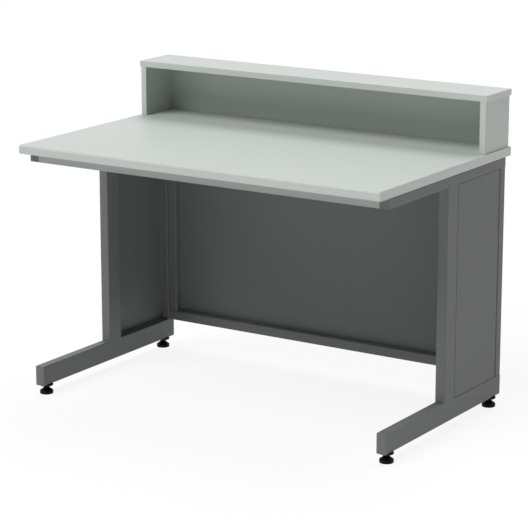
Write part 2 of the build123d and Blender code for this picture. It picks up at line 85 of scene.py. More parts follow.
# %% Helper for node trees
def put(tree, kind, wires=None, **options):
    node = tree.nodes.new(kind)
    for option, value in options.items():
        setattr(node, option, value)
    for name, value in (wires or {}).items():
        for each in value if isinstance(value, list) else [value]:
            if isinstance(each, bpy.types.NodeSocket):
                tree.links.new(each, node.inputs[name])
            else:
                node.inputs[name].default_value = each
    return node


print("helper for nodes ready")

# %% [markdown]
# The studio is a white floor in a white surround. A white picture could be had by adding light until all of
# it clips, but then the bench would be over-lit too. Instead, the surround has full strength only for rays
# that come from the camera, straight or by reflection, before any matt surface has scattered them. The floor
# is part lamp and part matt surface: to those rays it is mostly lamp, so it looks white and keeps a faint
# shadow, and for the light that it throws up at the bench it is mostly matt, so it is darker under the
# worktop. From below it is clear, so that the underside of the bench can be looked at.

# %% Floor and surround
floor_half = 30.0
floor_glow_seen = 0.88
floor_glow_thrown = 0.36
sky_level = 0.05


def seen_directly(tree):
    path = put(tree, "ShaderNodeLightPath")
    sharp = put(tree, "ShaderNodeMath", {0: path.outputs["Is Camera Ray"], 1: path.outputs["Is Glossy Ray"]},
                operation="MAXIMUM")
    both = put(tree, "ShaderNodeMath", {0: sharp.outputs[0], 1: path.outputs["Is Transmission Ray"]},
               operation="MAXIMUM")
    unscattered = put(tree, "ShaderNodeMath", {0: path.outputs["Diffuse Depth"], 1: 0.5},
                      operation="LESS_THAN")
    direct = put(tree, "ShaderNodeMath", {0: both.outputs[0], 1: unscattered.outputs[0]},
                 operation="MULTIPLY")
    return direct.outputs[0]


floor_finish = bpy.data.materials.new("white_floor")
floor_finish.use_nodes = True
tree = floor_finish.node_tree
tree.nodes.clear()
matt = put(tree, "ShaderNodeBsdfDiffuse", {"Color": (1, 1, 1, 1)})
glow = put(tree, "ShaderNodeEmission", {"Color": (1, 1, 1, 1), "Strength": 1.0})
share = put(tree, "ShaderNodeMapRange", {
    "Value": seen_directly(tree), "To Min": floor_glow_thrown, "To Max": floor_glow_seen})
shown = put(tree, "ShaderNodeMixShader", {0: share.outputs[0], 1: matt.outputs[0], 2: glow.outputs[0]})
from_below = put(tree, "ShaderNodeNewGeometry").outputs["Backfacing"]
clear = put(tree, "ShaderNodeBsdfTransparent")
sided = put(tree, "ShaderNodeMixShader", {0: from_below, 1: shown.outputs[0], 2: clear.outputs[0]})
put(tree, "ShaderNodeOutputMaterial", {"Surface": sided.outputs[0]})

floor_mesh = bpy.data.meshes.new("floor")
corners = [(x * floor_half, y * floor_half, 0) for x, y in ((-1, -1), (1, -1), (1, 1), (-1, 1))]
floor_mesh.from_pydata(corners, [], [(0, 1, 2, 3)])
floor_mesh.materials.append(floor_finish)
floor = bpy.data.objects.new("floor", floor_mesh)
scene.collection.objects.link(floor)

world = bpy.data.worlds.new("studio_surround")
scene.world = world
world.use_nodes = True
tree = world.node_tree
tree.nodes.clear()
sky = put(tree, "ShaderNodeBackground", {"Color": (1, 1, 1, 1), "Strength": sky_level})
surround = put(tree, "ShaderNodeBackground", {"Color": (1, 1, 1, 1), "Strength": 1.0})
either = put(tree, "ShaderNodeMixShader", {0: seen_directly(tree), 1: sky.outputs[0], 2: surround.outputs[0]})
put(tree, "ShaderNodeOutputWorld", {"Surface": either.outputs[0]})
print("floor", 2 * floor_half, "m across, sky", sky_level)

# %% [markdown]
# Two soft lamps light the bench from above: one from the front, a little to the left, and one from behind.
# A single lamp in front would shine into the shelf's bay and leave no depth there. With the one behind, the
# shelf shades the worktop before it and the tops stay bright. A wide sun lamp gives the soft edges of a
# large light box. Its turn is measured from the front of the bench, to the right.

# %% Lamps
lamp_softness_deg = 40.0
lamps = {
    "front_lamp": {"turn_deg": -24.0, "height_deg": 54.0, "level": 2.0},
    "back_lamp": {"turn_deg": 180.0, "height_deg": 68.0, "level": 1.5},
}

for name, lamp in lamps.items():
    turn = math.radians(lamp["turn_deg"])
    height = math.radians(lamp["height_deg"])
    reach = math.cos(height)
    towards_lamp = Vector((math.sin(turn) * reach, -math.cos(turn) * reach, math.sin(height)))
    lamp_data = bpy.data.lights.new(name, "SUN")
    lamp_data.energy = lamp["level"]
    lamp_data.angle = math.radians(lamp_softness_deg)
    lamp_object = bpy.data.objects.new(name, lamp_data)
    lamp_object.rotation_euler = towards_lamp.to_track_quat("Z", "Y").to_euler()
    scene.collection.objects.link(lamp_object)
    print(name, lamp["level"], "from", [round(v, 2) for v in towards_lamp])

# %% [markdown]
# Two effects are shared by all finishes, so each is a shader group that is built once. Cloudiness shifts a
# colour a little lighter and darker, in wide soft patches and in fine flecks, as on any real batch of
# laminate or paint. Grain gives the height of a fine pebbled surface, for a Bump node, and a roughness that
# follows it. Both work in object space, where one unit is a metre, so their sizes are real ones.

# %% Shared groups: cloudiness and grain
def shader_group(name, inputs, outputs):
    group = bpy.data.node_groups.new(name, "ShaderNodeTree")
    for label, kind, value in inputs:
        group.interface.new_socket(label, in_out="INPUT", socket_type=kind).default_value = value
    for label, kind in outputs:
        group.interface.new_socket(label, in_out="OUTPUT", socket_type=kind)
    return group, group.nodes.new("NodeGroupInput").outputs, group.nodes.new("NodeGroupOutput").inputs


def per_size(group, size):
    return put(group, "ShaderNodeMath", {0: 1.0, 1: size}, operation="DIVIDE").outputs[0]


cloudiness, given, result = shader_group(
    "cloudiness",
    [("Color", "NodeSocketColor", (1, 1, 1, 1)), ("Patch Size", "NodeSocketFloat", 0.2),
     ("Amount", "NodeSocketFloat", 0.04), ("Fleck Size", "NodeSocketFloat", 0.002),
     ("Fleck Amount", "NodeSocketFloat", 0.03)],
    [("Color", "NodeSocketColor")],
)
where = put(cloudiness, "ShaderNodeTexCoord").outputs["Object"]
patches = put(cloudiness, "ShaderNodeTexNoise", {
    "Vector": where, "Scale": per_size(cloudiness, given["Patch Size"]), "Detail": 3.0})
flecks = put(cloudiness, "ShaderNodeTexNoise", {
    "Vector": where, "Scale": per_size(cloudiness, given["Fleck Size"]), "Detail": 2.0})
shifts = []
for noise, amount in ((patches, given["Amount"]), (flecks, given["Fleck Amount"])):
    centred = put(cloudiness, "ShaderNodeMath", {0: noise.outputs[0], 1: 0.5}, operation="SUBTRACT")
    shifts.append(put(cloudiness, "ShaderNodeMath", {0: centred.outputs[0], 1: amount}, operation="MULTIPLY"))
shift = put(cloudiness, "ShaderNodeMath", {0: shifts[0].outputs[0], 1: shifts[1].outputs[0]}, operation="ADD")
brightness = put(cloudiness, "ShaderNodeMath", {0: shift.outputs[0], 1: 1.0}, operation="ADD")
shaded = put(cloudiness, "ShaderNodeVectorMath", {0: given["Color"], 1: brightness.outputs[0]},
             operation="MULTIPLY")
cloudiness.links.new(shaded.outputs[0], result["Color"])

grain, given, result = shader_group(
    "grain",
    [("Pebble Size", "NodeSocketFloat", 0.001), ("Waviness Size", "NodeSocketFloat", 0.02),
     ("Waviness", "NodeSocketFloat", 0.3), ("Roughness", "NodeSocketFloat", 0.5),
     ("Roughness Spread", "NodeSocketFloat", 0.06)],
    [("Height", "NodeSocketFloat"), ("Roughness", "NodeSocketFloat")],
)
where = put(grain, "ShaderNodeTexCoord").outputs["Object"]
pebbles = put(grain, "ShaderNodeTexNoise", {
    "Vector": where, "Scale": per_size(grain, given["Pebble Size"]), "Detail": 1.0})
waves = put(grain, "ShaderNodeTexNoise", {
    "Vector": where, "Scale": per_size(grain, given["Waviness Size"]), "Detail": 1.0})
wavy = put(grain, "ShaderNodeMath", {0: waves.outputs[0], 1: given["Waviness"]}, operation="MULTIPLY")
height = put(grain, "ShaderNodeMath", {0: pebbles.outputs[0], 1: wavy.outputs[0]}, operation="ADD")
grain.links.new(height.outputs[0], result["Height"])
centred = put(grain, "ShaderNodeMath", {0: pebbles.outputs[0], 1: 0.5}, operation="SUBTRACT")
spread = put(grain, "ShaderNodeMath", {0: centred.outputs[0], 1: given["Roughness Spread"]},
             operation="MULTIPLY")
rough = put(grain, "ShaderNodeMath", {0: spread.outputs[0], 1: given["Roughness"]}, operation="ADD")
grain.links.new(rough.outputs[0], result["Roughness"])
print("groups", cloudiness.name, grain.name)

# %% [markdown]
# Each finish is a Principled shader fed by the two groups: colour from cloudiness, roughness and bump from
# grain. Laminate, powder coat and moulded plastic differ mostly in how their fine texture breaks up the
# light. Pictures of real surfaces could be wrapped on, but noise needs no file, has no seams and keeps its
# size on every piece. One function wires any finish, and three small ones turn sizes in millimetres into
# the inputs of the groups and of the Bump node.

# %% How a finish is wired
def cloud_inputs(patch, amount, fleck, fleck_amount):
    return {"Patch Size": patch * MM, "Amount": amount, "Fleck Size": fleck * MM,
            "Fleck Amount": fleck_amount}


def grain_inputs(size, wave, waviness, rough, spread):
    return {"Pebble Size": size * MM, "Waviness Size": wave * MM, "Waviness": waviness,
            "Roughness": rough, "Roughness Spread": spread}


def bump_inputs(strength, depth):
    return {"Strength": strength, "Distance": depth * MM}


def finish(name, color, clouds, texture, relief, metal=0.0, gloss=0.5):
    material = bpy.data.materials.new(name)
    material.use_nodes = True
    tree = material.node_tree
    tree.nodes.clear()
    tint = put(tree, "ShaderNodeGroup", {"Color": (*color, 1), **clouds}, node_tree=cloudiness)
    skin = put(tree, "ShaderNodeGroup", texture, node_tree=grain)
    bump = put(tree, "ShaderNodeBump", {"Height": skin.outputs["Height"], **relief})
    surface = put(tree, "ShaderNodeBsdfPrincipled", {
        "Base Color": tint.outputs["Color"], "Roughness": skin.outputs["Roughness"],
        "Normal": bump.outputs["Normal"], "Metallic": metal, "Specular IOR Level": gloss})
    put(tree, "ShaderNodeOutputMaterial", {"Surface": surface.outputs[0]})
    return material


print("a finish sets", [i.name for g in (cloudiness, grain) for i in g.interface.items_tree
                        if i.in_out == "INPUT"])

# %% [markdown]
# The boards are faced with a pale grey matt laminate, and the apron with a darker one. The apron's darker
# grey is partly its own tone and partly painted shade, standing for the shade under the worktop's overhang.
# Both have a fine pressed texture and hardly any variation over a board. The edge bands are plastic in nearly
# the same grey and smoother; they are painted a little lighter, as painted light on the front edges. The
# frames and sheets have a dark grey powder coat, whose satin pebbles are the strongest relief on the bench.

# %% Laminates, edge band and powder coat
laminate_clouds = cloud_inputs(patch=350, amount=0.05, fleck=1.6, fleck_amount=0.16)
laminate_relief = bump_inputs(strength=0.2, depth=0.4)
laminate = finish(
    "pale_laminate", (0.545, 0.581, 0.557), laminate_clouds,
    grain_inputs(size=1.2, wave=30, waviness=0.4, rough=0.48, spread=0.16), laminate_relief, gloss=0.65)
# The apron's darker colour is partly painted shade: it stands for the shade under the worktop's overhang.
apron_laminate = finish(
    "mid_grey_laminate_painted_shade", (0.385, 0.41, 0.394), laminate_clouds,
    grain_inputs(size=1.2, wave=30, waviness=0.4, rough=0.5, spread=0.16), laminate_relief)
# The edge band is painted a little lighter than the laminate: painted light meant for the front edges of the
# shelf and uprights, which the end bands get too.
edge_band = finish(
    "edge_band_plastic_painted_light", (0.598, 0.638, 0.612),
    cloud_inputs(patch=200, amount=0.03, fleck=1.0, fleck_amount=0.06),
    grain_inputs(size=0.8, wave=20, waviness=0.6, rough=0.42, spread=0.12),
    bump_inputs(strength=0.15, depth=0.3))
powder_coat = finish(
    "powder_coat", (0.158, 0.164, 0.161),
    cloud_inputs(patch=250, amount=0.08, fleck=1.4, fleck_amount=0.2),
    grain_inputs(size=1.4, wave=12, waviness=0.5, rough=0.52, spread=0.25),
    bump_inputs(strength=0.7, depth=0.6), gloss=0.3)
print("finishes", laminate.name, apron_laminate.name, edge_band.name, powder_coat.name)

# %% [markdown]
# The small parts have finishes of their own. Screws and nuts are zinc plated and show faint cloudy crystals.
# The feet are black: moulded plastic with very little shine for pads and sockets, and oiled black steel for
# the studs. The dowels are bare beech.

# %% Zinc, black plastic, black steel and beech
zinc = finish(
    "zinc_plate", (0.58, 0.59, 0.57),
    cloud_inputs(patch=4, amount=0.2, fleck=0.6, fleck_amount=0.1),
    grain_inputs(size=0.4, wave=2, waviness=0.5, rough=0.34, spread=0.2),
    bump_inputs(strength=0.15, depth=0.1), metal=1.0)
black_plastic = finish(
    "black_moulded_plastic", (0.0025, 0.0025, 0.0025),
    cloud_inputs(patch=10, amount=0.2, fleck=0.8, fleck_amount=0.1),
    grain_inputs(size=0.6, wave=6, waviness=0.5, rough=0.5, spread=0.15),
    bump_inputs(strength=0.2, depth=0.2), gloss=0.1)
black_oxide = finish(
    "black_oxide_steel", (0.004, 0.004, 0.0045),
    cloud_inputs(patch=6, amount=0.3, fleck=0.6, fleck_amount=0.2),
    grain_inputs(size=0.4, wave=4, waviness=0.4, rough=0.36, spread=0.2),
    bump_inputs(strength=0.15, depth=0.1), gloss=0.18)
beech = finish(
    "bare_beech", (0.50, 0.33, 0.18),
    cloud_inputs(patch=6, amount=0.3, fleck=0.5, fleck_amount=0.3),
    grain_inputs(size=0.5, wave=4, waviness=0.6, rough=0.6, spread=0.1),
    bump_inputs(strength=0.3, depth=0.2), gloss=0.3)
print("finishes", zinc.name, black_plastic.name, black_oxide.name, beech.name)

# %% [markdown]
# The record of the engineering model gives every node a slot for its finish and a body that it moves with.
# The slots are filled here, so that a node without a dressed piece looks right too.

# %% Finish of every node
finishes = {
    "laminate": laminate, "apron_laminate": apron_laminate, "edge_band": edge_band,
    "frame_paint": powder_coat, "fastener_steel": zinc, "dowel_wood": beech,
    "foot_pad_plastic": black_plastic, "foot_socket_plastic": black_plastic, "foot_stud_steel": black_oxide,
}
slot_of = {s["node"]: s["material_slot"] for s in frame["record"]["subparts"]}
body_of = {n: b for b, names in frame["record"]["behaviour"]["bodies"].items() for n in names}
for node_name, node in frame["nodes"].items():
    node.data.materials.clear()
    node.data.materials.append(finishes[slot_of[node_name]])
print("nodes with a finish", len(frame["nodes"]))

# %% [markdown]
# The pieces below pass through the same few steps. Modifiers are baked into a plain mesh, because the export
# wants finished meshes. A piece is parented to an empty for the body that its node moves with, gets the
# finish of the node's slot if it has none yet, and the node that it stands in for is hidden. Rounded pieces
# get a Bevel and then normals weighted by area: plain smooth shading would bend the light on the flat faces
# beside a rounded edge, and weighted normals keep them flat.

# %% From a shape to a finished piece
smooth_angle = math.radians(30)
bevel_steps = 2


def shown_as(piece, *nodes):
    slot = slot_of[nodes[0]]
    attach(piece, body_of[nodes[0]])
    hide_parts(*nodes)
    if not piece.data.materials:
        piece.data.materials.append(finishes[slot])
    return piece


def piece_from(shape, name):
    mesh = bpy.data.meshes.new(name)
    shape.to_mesh(mesh)
    shape.free()
    piece = bpy.data.objects.new(name, mesh)
    scene.collection.objects.link(piece)
    return piece


def baked(piece):
    graph = bpy.context.evaluated_depsgraph_get()
    plain = bpy.data.meshes.new_from_object(piece.evaluated_get(graph), preserve_all_data_layers=True,
                                            depsgraph=graph)
    piece.modifiers.clear()
    piece.data = plain
    return piece


def rounded(piece, radius, limit):
    if radius > 0:
        bevel = piece.modifiers.new("broken_edges", "BEVEL")
        bevel.width = radius
        bevel.segments = bevel_steps
        bevel.limit_method = limit
        bevel.angle_limit = smooth_angle
    flat = piece.modifiers.new("flat_faces", "WEIGHTED_NORMAL")
    flat.mode = "FACE_AREA"
    flat.keep_sharp = True
    return baked(piece)


def crisp_smooth(piece):
    piece.data.shade_smooth()
    piece.data.set_sharp_from_angle(angle=smooth_angle)
    return piece


print("helpers for pieces ready")

# %% [markdown]
# A board or an edge band is never quite sharp: its saw cuts are broken with a scraper. The engineering
# solids have the right shape but knife edges, so each is copied, its loose triangles are welded and merged
# into flat faces, and a Bevel rounds its long edges. The rims of its screw holes stay crisp, because a
# bevel shrinks to fit the shortest edge it meets, and the facets of a rim are tiny. The worktop gets no
# bevel, because its front is already round in the solid and bands cover its other edges, and neither do the
# sheets, which have their bends in the solids.

# %% Boards, bands and sheets
weld_distance = 0.01 * MM
flat_angle = math.radians(0.5)
board_edge = 0.35 * MM
band_edge = 0.8 * MM
thin_share = 0.45
rim_facet = 5 * MM


def merged_copy(node_name):
    shape = bmesh.new()
    shape.from_mesh(frame["nodes"][node_name].data)
    bmesh.ops.remove_doubles(shape, verts=shape.verts, dist=weld_distance)
    return shape


def dressed(node_name, radius, longest_facet=0.0):
    shape = merged_copy(node_name)
    bmesh.ops.dissolve_limit(shape, angle_limit=flat_angle, verts=shape.verts, edges=shape.edges)
    for face in shape.faces:
        face.smooth = True
    broken = shape.edges.layers.float.new("bevel_weight_edge")
    for edge in shape.edges:
        if edge.calc_face_angle(0.0) > smooth_angle:
            edge.smooth = radius > 0 and edge.calc_length() > longest_facet
            edge[broken] = float(edge.smooth)
    low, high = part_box(node_name)
    thin_limit = thin_share * min(high - low)
    piece = rounded(piece_from(shape, node_name + "_dressed"), min(radius, thin_limit), "WEIGHT")
    return shown_as(piece, node_name)


boards = ["front_apron", "shelf_top", "shelf_back_panel", "shelf_upright_left", "shelf_upright_right"]
bands = [n for n in frame["nodes"] if "band" in n]
sheets = ["side_panel_left", "side_panel_right", "back_panel"]
for node_name in boards:
    dressed(node_name, board_edge, rim_facet)
for node_name in bands:
    dressed(node_name, band_edge)
for node_name in ["worktop"] + sheets:
    dressed(node_name, 0.0)
print("dressed", len(boards) + 1, "boards,", len(bands), "bands and", len(sheets), "sheets")

# %% [markdown]
# Tubes, rivets, screws, bolts and studs each follow a rule with a few sizes, which is what Geometry Nodes are
# for. Every tree below starts with named inputs and ends in Realize Instances and Set Material, because the
# export drops instances and each piece needs its finish. A last helper hangs a tree on a new object, whose
# mesh is empty or holds the places of fasteners, sets the inputs by their identifiers and bakes the result.

# %% Helpers for geometry trees
def geometry_tree(name, inputs, takes_points=False):
    tree = bpy.data.node_groups.new(name, "GeometryNodeTree")
    if takes_points:
        tree.interface.new_socket("Places", in_out="INPUT", socket_type="NodeSocketGeometry")
    for label, value in inputs.items():
        kind = "NodeSocketInt" if isinstance(value, int) else "NodeSocketFloat"
        tree.interface.new_socket(label, in_out="INPUT", socket_type=kind).default_value = value
    tree.interface.new_socket("Finish", in_out="INPUT", socket_type="NodeSocketMaterial")
    tree.interface.new_socket("Geometry", in_out="OUTPUT", socket_type="NodeSocketGeometry")
    return tree, tree.nodes.new("NodeGroupInput").outputs


def end_tree(tree, given, shape):
    real = put(tree, "GeometryNodeRealizeInstances", {"Geometry": shape})
    painted = put(tree, "GeometryNodeSetMaterial", {"Geometry": real.outputs[0], "Material": given["Finish"]})
    put(tree, "NodeGroupOutput", {"Geometry": painted.outputs[0]})


def calc(tree, operation, a, b):
    return put(tree, "ShaderNodeMath", {0: a, 1: b}, operation=operation).outputs[0]


def times(tree, a, b):
    return calc(tree, "MULTIPLY", a, b)


def vector(tree, x, y, z):
    return put(tree, "ShaderNodeCombineXYZ", {0: x, 1: y, 2: z}).outputs[0]


def lifted(tree, shape, height):
    return put(tree, "GeometryNodeTransform", {
        "Geometry": shape, "Translation": vector(tree, 0, 0, height)}).outputs[0]


def grown(tree, name, sizes, material, points=None, facings=None):
    mesh = bpy.data.meshes.new(name)
    if points:
        mesh.from_pydata(points, [], [])
        facing = mesh.attributes.new("facing", "FLOAT_VECTOR", "POINT")
        facing.data.foreach_set("vector", [c for f in facings for c in f])
    piece = bpy.data.objects.new(name, mesh)
    scene.collection.objects.link(piece)
    modifier = piece.modifiers.new(tree.name, "NODES")
    modifier.node_group = tree
    for item in tree.interface.items_tree:
        if item.in_out == "INPUT" and item.name in sizes:
            modifier[item.identifier] = sizes[item.name]
        if item.in_out == "INPUT" and item.name == "Finish":
            modifier[item.identifier] = material
    return baked(piece)


print("helpers for trees ready")

# %% [markdown]
# The side frames and the back frame are welded from rectangular steel tube, which is rolled, so its corners
# are round. All twelve tubes follow one rule: a rounded rectangle, a wall and a length. Some have plates that
# close their ends, and some a row of holes in the underside, for a screwdriver or for the feet. Twelve boxes
# could be bevelled one by one, but one tree with named inputs makes every tube alike.

# %% Tree for a tube
corner_steps = 6
hole_sides = 32


def bar(tree, width, height, corner, start, end):
    outline = put(tree, "GeometryNodeCurvePrimitiveQuadrilateral", {"Width": width, "Height": height})
    round_outline = put(tree, "GeometryNodeFilletCurve", {
        "Curve": outline.outputs[0], "Count": corner_steps, "Radius": corner}, mode="POLY")
    line = put(tree, "GeometryNodeCurvePrimitiveLine", {
        "Start": vector(tree, 0, 0, start), "End": vector(tree, 0, 0, end)})
    return put(tree, "GeometryNodeCurveToMesh", {
        "Curve": line.outputs[0], "Profile Curve": round_outline.outputs[0], "Fill Caps": True}).outputs[0]


tube_tree, given = geometry_tree("rectangular_tube", {
    "Width": 30 * MM, "Height": 30 * MM, "Length": 1.0, "Wall": 2 * MM, "Corner Radius": 3 * MM,
    "End Plate": 2 * MM, "Hole Diameter": 12 * MM, "First Hole": 0.1, "Hole Step": 0.1, "Hole Count": 0})
two_walls = times(tube_tree, given["Wall"], 2.0)
outside = bar(tube_tree, given["Width"], given["Height"], given["Corner Radius"], 0.0, given["Length"])
inside = bar(
    tube_tree,
    calc(tube_tree, "SUBTRACT", given["Width"], two_walls),
    calc(tube_tree, "SUBTRACT", given["Height"], two_walls),
    calc(tube_tree, "SUBTRACT", given["Corner Radius"], given["Wall"]),
    given["End Plate"],
    calc(tube_tree, "SUBTRACT", given["Length"], given["End Plate"]),
)
under = times(tube_tree, given["Height"], -0.5)
row = put(tube_tree, "GeometryNodeMeshLine", {
    "Count": given["Hole Count"], "Start Location": vector(tube_tree, 0, under, given["First Hole"]),
    "Offset": vector(tube_tree, 0, 0, given["Hole Step"])})
drill = put(tube_tree, "GeometryNodeMeshCylinder", {
    "Vertices": hole_sides, "Radius": times(tube_tree, given["Hole Diameter"], 0.5),
    "Depth": times(tube_tree, two_walls, 2.0)})
drill_across = put(tube_tree, "GeometryNodeTransform", {
    "Geometry": drill.outputs["Mesh"], "Rotation": (math.radians(90), 0, 0)})
drills = put(tube_tree, "GeometryNodeInstanceOnPoints", {
    "Points": row.outputs[0], "Instance": drill_across.outputs[0]})
real_drills = put(tube_tree, "GeometryNodeRealizeInstances", {"Geometry": drills.outputs[0]})
hollow = put(tube_tree, "GeometryNodeMeshBoolean", {
    "Mesh 1": outside, "Mesh 2": [inside, real_drills.outputs[0]]}, operation="DIFFERENCE", solver="EXACT")
end_tree(tube_tree, given, hollow.outputs["Mesh"])
print("tree", tube_tree.name, "takes", [s.name for s in given if s.name])

# %% [markdown]
# The worktop's screws are driven from below, through holes in the undersides of the top rails. Their places
# could be typed in again, but they are already in the engineering model: the node of these screws is a group
# of separate solids. A helper collects the points that hang together, solid by solid, in a fixed order.

# %% Separate solids of a node
def solids_of(node_name):
    shape = merged_copy(node_name)
    left = set(shape.verts)
    found = []
    while left:
        solid = {left.pop()}
        edge = list(solid)
        while edge:
            near = {e.other_vert(v) for v in edge for e in v.link_edges} - solid
            solid |= near
            edge = list(near)
        left -= solid
        found.append([v.co.copy() for v in solid])
    shape.free()
    return sorted(found, key=lambda points: tuple(sum(points, Vector()) / len(points)))


def middle_of(points):
    return Vector([(min(p[i] for p in points) + max(p[i] for p in points)) / 2 for i in range(3)])


screw_middles = [middle_of(points) for points in solids_of("worktop_screws")]
print("worktop screws", len(screw_middles))

# %% [markdown]
# A tube lies along X, Y or Z, so the tree makes it along Z and a matrix lays it down in place. On the side
# frames the welds between posts and rails are ground flush before painting, and the outer faces run into
# each other without a seam. To show that, a post is made longer by one corner radius, which fills the
# little groove where the rail's edge rounds away. Only the foot of the rear post keeps its seam. The foot
# rails have a hole for each socket.

# %% Side frames and back frame
tube_wall = 2 * MM
tube_corner = 3 * MM
end_plate = 2 * MM
ground_edge = 0.7 * MM
access_hole = 12 * MM
socket_hole = 20.4 * MM
lay_along = {
    "x": Matrix(((0, 0, 1), (1, 0, 0), (0, 1, 0))).to_4x4(),
    "y": Matrix(((-1, 0, 0), (0, 0, 1), (0, 1, 0))).to_4x4(),
    "z": Matrix.Identity(4),
}


def tube(nodes, along, below=0.0, above=0.0, plates=0.0, holes=(), hole=access_hole):
    boxes = [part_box(n) for n in nodes]
    low = Vector([min(box[0][i] for box in boxes) for i in range(3)])
    high = Vector([max(box[1][i] for box in boxes) for i in range(3)])
    axis = "xyz".index(along)
    low[axis] -= below
    high[axis] += above
    size = lay_along[along].to_3x3().inverted() @ (high - low)
    middle = (low + high) / 2
    middle[axis] = low[axis]
    sizes = {"Width": abs(size.x), "Height": abs(size.y), "Length": size.z, "Wall": tube_wall,
             "Corner Radius": tube_corner, "End Plate": plates, "Hole Diameter": hole}
    if holes:
        sizes["Hole Count"] = len(holes)
        sizes["First Hole"] = holes[0] - low[axis]
        sizes["Hole Step"] = holes[1] - holes[0]
    piece = grown(tube_tree, nodes[0] + "_tube", sizes, powder_coat)
    piece.data.transform(Matrix.Translation(middle) @ lay_along[along])
    piece.data.shade_smooth()
    return shown_as(rounded(piece, ground_edge, "ANGLE"), *nodes)


for side in ("left", "right"):
    rails = {rail: [f"{rail}_{side}", f"{rail}_front_plate_{side}", f"{rail}_rear_plate_{side}"]
             for rail in ("foot_rail", "top_rail")}
    rail_low, rail_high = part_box(f"top_rail_{side}")
    rail_screws = sorted(m.y for m in screw_middles if rail_low.x < m.x < rail_high.x)
    sockets = [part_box(f"foot_socket_{end}_{side}") for end in ("front", "rear")]
    socket_places = [(low.y + high.y) / 2 for low, high in sockets]
    tube(rails["foot_rail"], "y", plates=end_plate, holes=socket_places, hole=socket_hole)
    tube(rails["top_rail"], "y", plates=end_plate, holes=rail_screws)
    tube([f"front_post_{side}"], "z", below=tube_corner, above=tube_corner)
    tube([f"rear_post_{side}"], "z", above=tube_corner)
    tube([f"back_stile_{side}"], "z")
back_low, back_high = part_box("back_top_rail")
tube(["back_bottom_rail"], "x")
tube(["back_top_rail"], "x", holes=sorted(m.x for m in screw_middles if back_low.x < m.x < back_high.x))
print("tubes with", len(screw_middles), "screwdriver holes, and", len(sockets), "holes in each foot rail")

# %% [markdown]
# Rivets, screws and bolts repeat, and all their nodes are groups of separate solids. A second helper takes
# the widest end of each solid as its head, and gives the centre of the head's seat, the way it faces and
# its sizes. A tree then puts one modelled fastener at every place.

# %% Places of the fasteners
rim_share = 0.93


def fasteners_of(node_name):
    seats, facings, sizes = [], [], {}
    for points in solids_of(node_name):
        middle = middle_of(points)
        spans = [max(p[i] for p in points) - min(p[i] for p in points) for i in range(3)]
        odd = max(range(3), key=lambda i: abs(2 * spans[i] - spans[i - 1] - spans[i - 2]))
        across = [i for i in range(3) if i != odd]
        reach = [math.hypot(*[p[i] - middle[i] for i in across]) for p in points]
        rim = [p[odd] for p, r in zip(points, reach) if r > rim_share * max(reach)]
        sign = 1 if (min(rim) + max(rim)) / 2 > middle[odd] else -1
        seat = middle.copy()
        seat[odd] = min(rim) if sign > 0 else max(rim)
        facing = Vector((0, 0, 0))
        facing[odd] = sign
        seats.append(seat)
        facings.append(facing)
        height = max(sign * (p[odd] - seat[odd]) for p in points)
        sizes = {"Head Diameter": 2 * max(reach), "Head Height": height, "Shank Length": spans[odd] - height,
                 "Shank Diameter": 2 * min(r for r in reach if r > weld_distance)}
    return seats, facings, sizes


for node_name in ("side_panel_rivets", "shelf_panel_screws", "worktop_screws", "back_frame_bolts"):
    print(node_name, {k: round(v / MM, 2) for k, v in fasteners_of(node_name)[2].items()})

# %% [markdown]
# A fastener's body is turned on a lathe, so it can be given as a list of rings, each with a radius and a
# height. The Cone node makes the surface between two rings, and welding the cones gives a closed shell. A
# second helper puts the finished shape on every place, with its head turned the right way.

# %% Parts that every fastener tree uses
turned_sides = 32


def welded(tree, shape):
    return put(tree, "GeometryNodeMergeByDistance", {
        "Geometry": shape, "Distance": weld_distance}).outputs[0]


def turned_shell(tree, rings):
    cones = []
    for (low_radius, low), (high_radius, high) in zip(rings, rings[1:]):
        cone = put(tree, "GeometryNodeMeshCone", {
            "Vertices": turned_sides, "Radius Bottom": low_radius, "Radius Top": high_radius,
            "Depth": calc(tree, "SUBTRACT", high, low)}, fill_type="NONE")
        cones.append(lifted(tree, cone.outputs["Mesh"], low))
    joined = put(tree, "GeometryNodeJoinGeometry", {"Geometry": cones})
    return welded(tree, joined.outputs[0])


def at_places(tree, given, shape):
    facing = put(tree, "GeometryNodeInputNamedAttribute", {"Name": "facing"}, data_type="FLOAT_VECTOR")
    turn = put(tree, "FunctionNodeAlignRotationToVector", {"Vector": facing.outputs[0]}, axis="Z")
    copies = put(tree, "GeometryNodeInstanceOnPoints", {
        "Points": given["Places"], "Instance": shape, "Rotation": turn.outputs[0]})
    end_tree(tree, given, copies.outputs[0])


print("fastener helpers ready")

# %% [markdown]
# The sheet trays are held by blind rivets. From outside only the low domed head shows, with the small pit
# where the pin snapped off. The head is a turned shape, so the tree stacks open cones from the shank's end
# up to the pit and welds them into one closed shell.

# %% Rivets
rivet_pin = 2.0 * MM
dome_rings = ((1.0, 0.3), (0.9, 0.62), (0.68, 0.86), (0.42, 0.97))
pit_share = 0.55

rivet_tree, given = geometry_tree("blind_rivets", {
    "Head Diameter": 6.5 * MM, "Head Height": 1.2 * MM, "Pin Diameter": rivet_pin,
    "Shank Diameter": 3.2 * MM, "Shank Length": 5 * MM}, takes_points=True)
head = times(rivet_tree, given["Head Diameter"], 0.5)
pin = times(rivet_tree, given["Pin Diameter"], 0.5)
shank = times(rivet_tree, given["Shank Diameter"], 0.5)
tail = times(rivet_tree, given["Shank Length"], -1.0)
pit = times(rivet_tree, given["Head Height"], pit_share)
rings = [(0.0, tail), (shank, tail), (shank, 0.0), (head, 0.0)]
for across, up in dome_rings:
    rings.append((times(rivet_tree, head, across), times(rivet_tree, given["Head Height"], up)))
rings += [(pin, given["Head Height"]), (pin, pit), (0.0, pit)]
at_places(rivet_tree, given, turned_shell(rivet_tree, rings))


